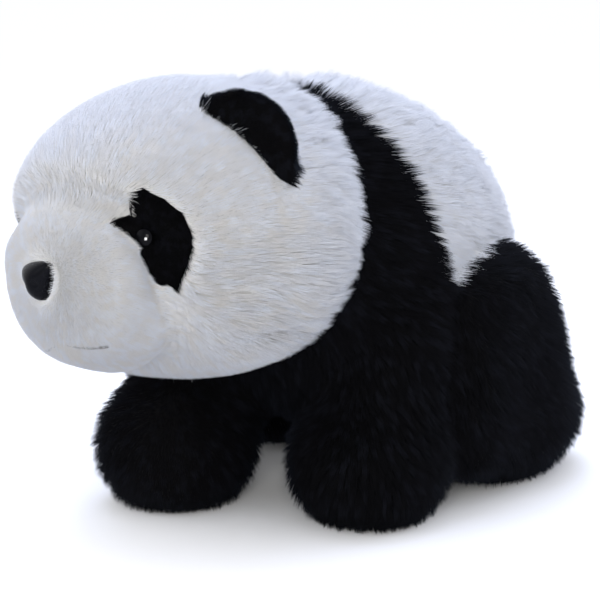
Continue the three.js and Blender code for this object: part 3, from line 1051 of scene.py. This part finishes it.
        over = add_node(tree, *MULTIPLY, {0: given["Lean"], 1: wild})
        uneven = add_node(tree, *MULTIPLY, {0: given["Uneven"], 1: self.unrest})
        rise = add_node(tree, "ShaderNodeMath", {"operation": "MULTIPLY_ADD"},
                        {0: rise, 1: uneven, 2: 1.0})
        pull = add_node(tree, *MULTIPLY, {0: given["Gather"], 1: loose})
        pull = add_node(tree, *MULTIPLY, {0: pull, 1: self.unrest})
        gathered = add_node(tree, "ShaderNodeMix", {"data_type": "VECTOR"}, {
            "Factor": pull, "A": self._tip_at(rise, over), "B": lock_tip})
        tip = add_node(tree, *APART, {0: gathered, 1: self.place})

        # A tuft is a flattened three-sided spike, turned at random about its own line.
        axis = add_node(tree, *UNIT, {0: self.tip})
        flat = add_node(tree, *CROSSED, {0: axis, 1: self.normal})
        broad = add_node(tree, "ShaderNodeVectorRotate", {"rotation_type": "AXIS_ANGLE"},
                         {"Vector": flat, "Axis": axis, "Angle": turn})
        broad = add_node(tree, *UNIT, {0: broad})
        girth = add_node(tree, *MULTIPLY, {0: given["Width"], 1: thick})
        points = self._scattered(given["Spacing"], given["Seed"])
        for name, kind, value in (
                ("tip", "FLOAT_VECTOR", tip), ("root", "FLOAT_VECTOR", self.place),
                ("broad", "FLOAT_VECTOR", broad), ("girth", "FLOAT", girth),
                ("chance", "FLOAT", chance), ("lock", "FLOAT", lock_chance)):
            points = add_node(tree, self.KEEP, {"data_type": kind},
                              {"Geometry": points, "Name": name, "Value": value})
        return points

    def _spiked(self, points: bpy.types.Node) -> bpy.types.Node:
        """Stand a spike on every point and stretch it from the root to its tip."""
        tree = self.tree
        spike = add_node(tree, "GeometryNodeMeshCone", {"fill_type": "NGON"}, {
            "Vertices": 3, "Side Segments": 1, "Radius Top": 0.0, "Radius Bottom": 1.0,
            "Depth": 1.0})
        up = add_node(tree, "ShaderNodeSeparateXYZ", {}, {"Vector": self.place})
        shape = spike.outputs["Mesh"]
        for name, kind, domain, value in (
                ("along", "FLOAT", "POINT", up.outputs["Z"]),
                ("ring", "FLOAT_VECTOR", "POINT", self.place),
                ("patch", "FLOAT2", "CORNER", spike.outputs["UV Map"])):
            shape = add_node(tree, self.KEEP, {"data_type": kind, "domain": domain},
                             {"Geometry": shape, "Name": name, "Value": value})
        tufts = add_node(tree, "GeometryNodeInstanceOnPoints", {},
                         {"Points": points, "Instance": shape})
        mesh = add_node(tree, "GeometryNodeRealizeInstances", {}, {"Geometry": tufts})

        along, girth = (add_node(tree, self.READ, NUMBER, {"Name": name})
                        for name in ("along", "girth"))
        root, broad, ring = (add_node(tree, self.READ, ARROW, {"Name": name})
                             for name in ("root", "broad", "ring"))
        ring = add_node(tree, "ShaderNodeSeparateXYZ", {}, {"Vector": ring})
        line = add_node(tree, *UNIT, {0: self.tip})
        thin = add_node(tree, *CROSSED, {0: line, 1: broad})
        wide = add_node(tree, *MULTIPLY, {0: girth, 1: ring.outputs["X"]})
        slim = add_node(tree, *MULTIPLY, {0: girth, 1: self.THINNESS})
        slim = add_node(tree, *MULTIPLY, {0: slim, 1: ring.outputs["Y"]})
        spot = root
        for way, far in ((self.tip, along), (broad, wide), (thin, slim)):
            step = add_node(tree, *SCALED, {0: way, "Scale": far})
            spot = add_node(tree, *SUM, {0: spot, 1: step})

        # Nothing reaches below the floor: the pile under the paws is pressed flat on it.
        split = add_node(tree, "ShaderNodeSeparateXYZ", {}, {"Vector": spot})
        lifted = add_node(tree, "ShaderNodeMath", {"operation": "MAXIMUM"},
                          {0: split.outputs["Z"], 1: self.FLOOR})
        pressed = add_node(tree, "ShaderNodeCombineXYZ", {}, {
            "X": split.outputs["X"], "Y": split.outputs["Y"], "Z": lifted})
        return add_node(tree, "GeometryNodeSetPosition", {},
                        {"Geometry": mesh, "Position": pressed})

    def _build(self) -> None:
        """Lay out the whole tree."""
        tree = self.tree
        mesh = self._spiked(self._rooted())

        # Each tuft gets a small patch of the map, at its root's place on the skin's own map.
        patch, middle = (add_node(tree, self.READ, ARROW, {"Name": name})
                         for name in ("patch", "SkinMap"))
        patch = add_node(tree, *APART, {0: patch, 1: (0.5, 0.5, 0.0)})
        patch = add_node(tree, *SCALED, {0: patch, "Scale": self.PATCH})
        spot = add_node(tree, *SUM, {0: middle, 1: patch})
        mesh = add_node(tree, self.KEEP, {"data_type": "FLOAT2", "domain": "CORNER"},
                        {"Geometry": mesh, "Name": "OFBake", "Value": spot})
        for spent in ("tip", "root", "broad", "girth", "ring", "patch", "SkinMap", "comb",
                      "pile_height", "unrest"):
            mesh = add_node(tree, "GeometryNodeRemoveAttribute", {},
                            {"Geometry": mesh, "Name": spent})
        mesh = add_node(tree, "GeometryNodeSetMaterial", {},
                        {"Geometry": mesh, "Material": self.given["Material"]})
        add_node(tree, "NodeGroupOutput", {}, {"Pile": mesh})


@dataclass
class Coat:
    """The pile of the whole toy, grown panel by panel over the skin."""

    skin: StuffedSkin
    finishes: dict[Dye, PlushPile]
    packing: float = 0.56  # points that fit, as a share of area over spacing squared
    seed: int = 11  # of the first panel's scatter

    def _area(self, region: str) -> float:
        """Return the area of the skin that a panel covers."""
        mesh = self.skin.piece.data
        edge = read_out(mesh.attributes[region].data, "value")
        corners = read_out(mesh.loops, "vertex_index", kind=np.int32)
        starts, counts = (read_out(mesh.polygons, key, kind=np.int32)
                          for key in ("loop_start", "loop_total"))
        inside = np.add.reduceat((edge[corners] > 0).astype(float), starts) / counts
        return float(np.sum(read_out(mesh.polygons, "area") * inside))

    def _cut_out(self, region: str) -> bpy.types.Mesh:
        """Copy the skin with only the values that one panel's pile needs."""
        mesh = self.skin.piece.data.copy()
        for name in [layer.name for layer in mesh.attributes]:
            if name.startswith("in_") and name != region or name == "black":
                mesh.attributes.remove(mesh.attributes[name])
        return mesh

    def _soften(self, mesh: bpy.types.Mesh) -> None:
        """Shade the tufts by the skin's own normals, which softens them."""
        below = unit(read_out(mesh.attributes["skin_normal"].data, "vector", 3))
        mesh.attributes.remove(mesh.attributes["skin_normal"])
        mesh.normals_split_custom_set_from_vertices(below.tolist())

    def grow(self) -> None:
        """Grow every panel and give each its place in the frame."""
        pile = PileTree()
        materials = {dye: finish.make() for dye, finish in self.finishes.items()}
        for number, panel in enumerate(PANELS):
            area = self._area(panel.region)
            spacing = math.sqrt(self.packing * area / panel.tufts)
            carrier = new_object(panel.name, self._cut_out(panel.region))
            modifier = carrier.modifiers.new("pile", "NODES")
            modifier.node_group = pile.tree
            set_inputs(modifier, {
                "Panel": panel.region, "Spacing": spacing, "Width": panel.width,
                "Lean": panel.lean, "Wave": panel.wave, "Wave size": panel.wave_size,
                "Lock spacing": panel.lock, "Gather": panel.gather, "Uneven": panel.uneven,
                "Seed": self.seed + number, "Material": materials[panel.dye]})
            mesh = carry_out(carrier)
            self._soften(mesh)
            mesh.attributes.remove(mesh.attributes[panel.region])
            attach(carrier, BODY)
            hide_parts(panel.node)
            triangles = sum(len(face.vertices) - 2 for face in mesh.polygons)
            log.info("%s: %.0f mm2, spacing %.2f mm, %d triangles", panel.name, area * 1e6,
                     spacing / MM, triangles)


# ---- Plastic parts and the mouth ---------------------------------------------


@dataclass
class MouldedPart:
    """A part of black plastic that is set into the head."""

    head: HeadAxes
    node: str

    def dress(self, piece: bpy.types.Object, material: bpy.types.Material) -> None:
        """Finish the part and give it its place in the frame."""
        piece.data.materials.append(material)
        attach(piece, BODY)
        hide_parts(self.node)
        log.info("%s: %d faces", piece.name, len(piece.data.polygons))


@dataclass
class SafetyEye(MouldedPart):
    """A domed plastic eye, set on its shank through the fabric."""

    proud: float = 1.5 * MM  # how far it stands out from its solid's middle
    dome: float = 0.4  # height of the dome over its rim, as a share of its radius
    rings: int = 14
    sides: int = 40

    def build(self) -> bpy.types.Object:
        """Turn the dome about the line it looks along."""
        low, high = (np.array(corner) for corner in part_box(self.node))
        centre = (low + high) / 2
        radius = float(np.mean(high - low)) / 2
        gaze = Vector(unit(centre - self.head.centre))
        shape = bmesh.new()
        bmesh.ops.create_uvsphere(shape, u_segments=self.sides, v_segments=self.rings * 2,
                                  radius=radius)
        turn = gaze.to_track_quat("Z", "Y").to_matrix().to_4x4()
        squash = Matrix.Diagonal((1, 1, self.dome, 1))
        place = Matrix.Translation(Vector(centre) + gaze * self.proud)
        bmesh.ops.transform(shape, matrix=place @ turn @ squash, verts=shape.verts)
        mesh = mesh_from(shape, self.node + "_dome")
        shade_smooth(mesh)
        return new_object(self.node + "_dome", mesh)


@dataclass
class MouldedNose(MouldedPart):
    """The plastic nose, a shallow dome with a rounded three-cornered outline."""

    width: float = 36 * MM
    height: float = 24.5 * MM
    depth: float = 11 * MM  # from its widest line to its front
    corner: float = 6.0  # how square the top corners are
    waist: float = 0.62  # half-width at mid-height, as a share of the width
    flare: float = 0.4
    nostril: tuple[float, float] = (5.6 * MM, -1.5 * MM)  # aside and up from its middle
    nostril_size: float = 2.3 * MM
    nostril_depth: float = 1.6 * MM
    rings: int = 36
    sides: int = 64

    def _outline(self, up: np.ndarray) -> np.ndarray:
        """Return the half-width at each height from -1 to 1, for a height and width of 2."""
        closing = np.sqrt(np.clip(1 - np.abs(up) ** self.corner, 0, 1))
        return closing * (self.waist + self.flare * up)

    def build(self) -> bpy.types.Object:
        """Shape the dome from a ball, and press in the nostrils."""
        shape = bmesh.new()
        bmesh.ops.create_uvsphere(shape, u_segments=self.sides, v_segments=self.rings, radius=1)
        mesh = mesh_from(shape, "nose_moulding")
        aside, front, up = positions(mesh).T
        round_width = np.sqrt(np.clip(1 - up ** 2, 1e-6, 1))
        aside = aside / round_width * self._outline(up) * self.width / 2
        front = -front * self.depth
        up = up * self.height / 2
        for mirror in (1, -1):
            away = np.hypot(aside - mirror * self.nostril[0], up - self.nostril[1])
            dent = np.exp(-((away / self.nostril_size) ** 2)) * (front > 0)
            front = front - self.nostril_depth * dent
        move_to(mesh, self.head.nose + aside[:, None] * self.head.left
                + front[:, None] * self.head.ahead + up[:, None] * self.head.up)
        shape = bmesh.new()
        shape.from_mesh(mesh)
        bmesh.ops.recalc_face_normals(shape, faces=shape.faces)
        shape.to_mesh(mesh)
        shape.free()
        shade_smooth(mesh)
        return new_object("nose_moulding", mesh)


@dataclass
class MouthStitch:
    """The mouth: one embroidered thread on each side of the muzzle, half hidden in the pile."""

    head: HeadAxes
    skin: StuffedSkin
    inner: float = 7 * MM  # how far from the middle each thread starts ...
    outer: float = 37 * MM  # ... and ends
    lowest: tuple[float, float] = (31 * MM, -46 * MM)  # aside and up from the nose
    bow: float = 6.0  # how much it bows, per metre
    sunk: tuple[float, float] = (2.7 * MM, 1.5 * MM)  # below the tips, where it starts and ends
    before: float = 40 * MM  # it is traced from this far ahead of the nose
    thread: float = 1.0 * MM  # its radius
    steps: int = 24

    def _line(self, side: int) -> list[Vector]:
        """Trace one half of the mouth over the pile's outside."""
        surface = search_tree(self.skin.outside)
        line = []
        for i in range(self.steps + 1):
            aside = self.inner + (self.outer - self.inner) * i / self.steps
            up = self.lowest[1] + self.bow * (aside - self.lowest[0]) ** 2
            start = Vector(self.head.at(side * aside, self.before, up))
            place = surface.ray_cast(start, Vector(-self.head.ahead))
            sunk = self.sunk[0] + (self.sunk[1] - self.sunk[0]) * i / self.steps
            line.append(place[0] - place[1] * sunk)
        return line

    def _tree(self) -> bpy.types.NodeTree:
        """Make the rule that turns a drawn line into a round thread."""
        tree = bpy.data.node_groups.new("thread", "GeometryNodeTree")
        for name, kind in (("Line", "NodeSocketGeometry"), ("Radius", "NodeSocketFloat"),
                           ("Material", "NodeSocketMaterial")):
            tree.interface.new_socket(name, in_out="INPUT", socket_type=kind)
        tree.interface.new_socket("Thread", in_out="OUTPUT", socket_type="NodeSocketGeometry")
        given = add_node(tree, "NodeGroupInput").outputs
        curve = add_node(tree, "GeometryNodeMeshToCurve", {}, {"Mesh": given["Line"]})
        section = add_node(tree, "GeometryNodeCurvePrimitiveCircle", {}, {
            "Resolution": 8, "Radius": given["Radius"]})
        thread = add_node(tree, "GeometryNodeCurveToMesh", {}, {
            "Curve": curve, "Profile Curve": section, "Fill Caps": True})
        whole = add_node(tree, "GeometryNodeRealizeInstances", {}, {"Geometry": thread})
        painted = add_node(tree, "GeometryNodeSetMaterial", {}, {
            "Geometry": whole, "Material": given["Material"]})
        add_node(tree, "NodeGroupOutput", {}, {"Thread": painted})
        return tree

    def build(self, material: bpy.types.Material) -> bpy.types.Object:
        """Sew both threads."""
        points: list[Vector] = []
        edges: list[tuple[int, int]] = []
        for side in (1, -1):
            start = len(points)
            points += self._line(side)
            edges += [(i, i + 1) for i in range(start, start + self.steps)]
        drawn = bpy.data.meshes.new("mouth_line")
        drawn.from_pydata(points, edges, [])
        piece = new_object("mouth_stitch", drawn)
        modifier = piece.modifiers.new("thread", "NODES")
        modifier.node_group = self._tree()
        set_inputs(modifier, {"Radius": self.thread, "Material": material})
        carry_out(piece)
        return piece

    def dress(self, piece: bpy.types.Object) -> None:
        """Give the thread its place in the frame."""
        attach(piece, BODY)
        log.info("%s: %d faces", piece.name, len(piece.data.polygons))


# ---- Studio ------------------------------------------------------------------


@dataclass(frozen=True)
class Lamp:
    """A square soft lamp."""

    name: str
    place: tuple[float, float, float]
    size: float
    power: float  # in watts
    colour: str

    def hang(self, target: Vector) -> bpy.types.Object:
        """Put the lamp in its place and point it at the target."""
        light = bpy.data.lights.new(self.name, "AREA")
        light.size = self.size
        light.energy = self.power
        light.color = linear(self.colour)[:3]
        holder = bpy.data.objects.new(self.name, light)
        bpy.context.scene.collection.objects.link(holder)
        holder.location = self.place
        aim = target - Vector(self.place)
        holder.rotation_euler = aim.to_track_quat("-Z", "Y").to_euler()
        return holder


LAMPS = (
    Lamp("window", (-0.5, -1.5, 1.1), 1.2, 5, "#f3f7ff"),
    Lamp("skylight", (-0.3, 0.3, 1.7), 1.4, 18, "#c6d6ff"),
    Lamp("beside_camera", (0.85, -1.35, 0.62), 0.5, 11, "#fffdf8"),
    Lamp("rear_window", (1.0, 1.3, 1.0), 1.2, 7, "#d2e0ff"),
)
CATCH_LIGHT = Lamp("catch_light", (0.64, -1.49, 0.17), 0.35, 90, "#ffffff")


@dataclass
class Studio:
    """White paper, soft lamps and the camera."""

    azimuth: float = math.radians(35)  # the camera stands this far round to the toy's left
    elevation: float = math.radians(12)
    distance: float = 1.3
    target: tuple[float, float, float] = (-0.0176, 0.0244, 0.133)
    focal: float = 109.2  # millimetres, on a sensor 36 mm wide
    tent: str = "#f8f9fd"  # colour of the white tent round the toy ...
    sky: float = 1.1  # ... and its brightness
    paper_size: float = 14.0

    def build(self, eyes: list[bpy.types.Object]) -> None:
        """Set up paper, lamps, sky and camera.

        Args:
            eyes: The pieces that the catch light is kept to.
        """
        scene = bpy.context.scene
        shape = bmesh.new()
        bmesh.ops.create_grid(shape, x_segments=8, y_segments=8, size=self.paper_size)
        paper = new_object("paper", mesh_from(shape, "paper"))
        paper.data.materials.append(StudioPaper().make())

        world = bpy.data.worlds.new("studio")
        scene.world = world
        world.use_nodes = True
        sky = world.node_tree.nodes["Background"]
        sky.inputs["Color"].default_value = linear(self.tent)
        sky.inputs["Strength"].default_value = self.sky
        target = Vector(self.target)
        for lamp in LAMPS:
            lamp.hang(target)
        lit = bpy.data.collections.new("catch_light_on")
        for eye in eyes:
            lit.objects.link(eye)
        CATCH_LIGHT.hang(target).light_linking.receiver_collection = lit

        scene.view_settings.view_transform = "Standard"
        camera = bpy.data.cameras.new("camera")
        camera.lens = self.focal
        camera.sensor_width = 36
        camera.clip_end = 50
        holder = bpy.data.objects.new("camera", camera)
        scene.collection.objects.link(holder)
        flat = math.cos(self.elevation)
        away = Vector((math.sin(self.azimuth) * flat, -math.cos(self.azimuth) * flat,
                       math.sin(self.elevation)))
        holder.location = target + away * self.distance
        holder.rotation_euler = (-away).to_track_quat("-Z", "Y").to_euler()
        scene.camera = holder


# ---- Making the toy ----------------------------------------------------------


# Root colours are painted shading, darker in the black and lighter in the white to offset the
# shade deep in the pile; lock highlight colours are painted highlights.
FINISHES = {
    Dye.WHITE: PlushPile("white_acrylic_pile", fibre="#e5e8f0", painted_root_shading="#ebe9e4", cream_and_crease_shade="#e6e1d9",
                         painted_lock_highlight="#e9edf5", sheen=0.2, sheen_colour="#eef3ff", through=0.55),
    Dye.BLACK: PlushPile("black_acrylic_pile", fibre="#070709", painted_root_shading="#030304", cream_and_crease_shade="#080708",
                         painted_lock_highlight="#101116", sheen=0.03, sheen_colour="#9fb0d8", gloss=0.05,
                         tint_spread=0.3),
    Dye.VELOUR: PlushPile("black_velour_pile", fibre="#070708", painted_root_shading="#030304", cream_and_crease_shade="#070708",
                          painted_lock_highlight="#0e0e12", sheen=0.02, sheen_colour="#9fb0d8", gloss=0.03,
                          tint_spread=0.3),
}


def main() -> None:
    """Build the toy, its finishes and the studio, in order."""
    logging.basicConfig(level=logging.INFO, format="%(message)s")
    forms = SewnForms((*FLESH, NOSE, *EYES))
    head = HeadAxes()
    skin = StuffedSkin(forms, head)
    skin.build()
    Groom(skin, forms, head).brush()
    skin.unwrap()
    Coat(skin, FINISHES).grow()
    skin.dress()

    eye_plastic = MouldedPlastic("moulded_eye_plastic", "#020203", "#030304", 0.04, 5 * MM,
                                 mirror=0.06).make()
    domes = []
    for name in EYES:
        eye = SafetyEye(head, name)
        domes.append(eye.build())
        eye.dress(domes[-1], eye_plastic)
    nose = MouldedNose(head, NOSE)
    nose.dress(nose.build(), MouldedPlastic("moulded_nose_plastic", "#04050b", "#060609", 0.2,
                                            9 * MM, mirror=0.07).make())
    mouth = MouthStitch(head, skin)
    mouth.dress(mouth.build(SpunThread().make()))

    Studio().build(domes)


if __name__ == "__main__":
    main()
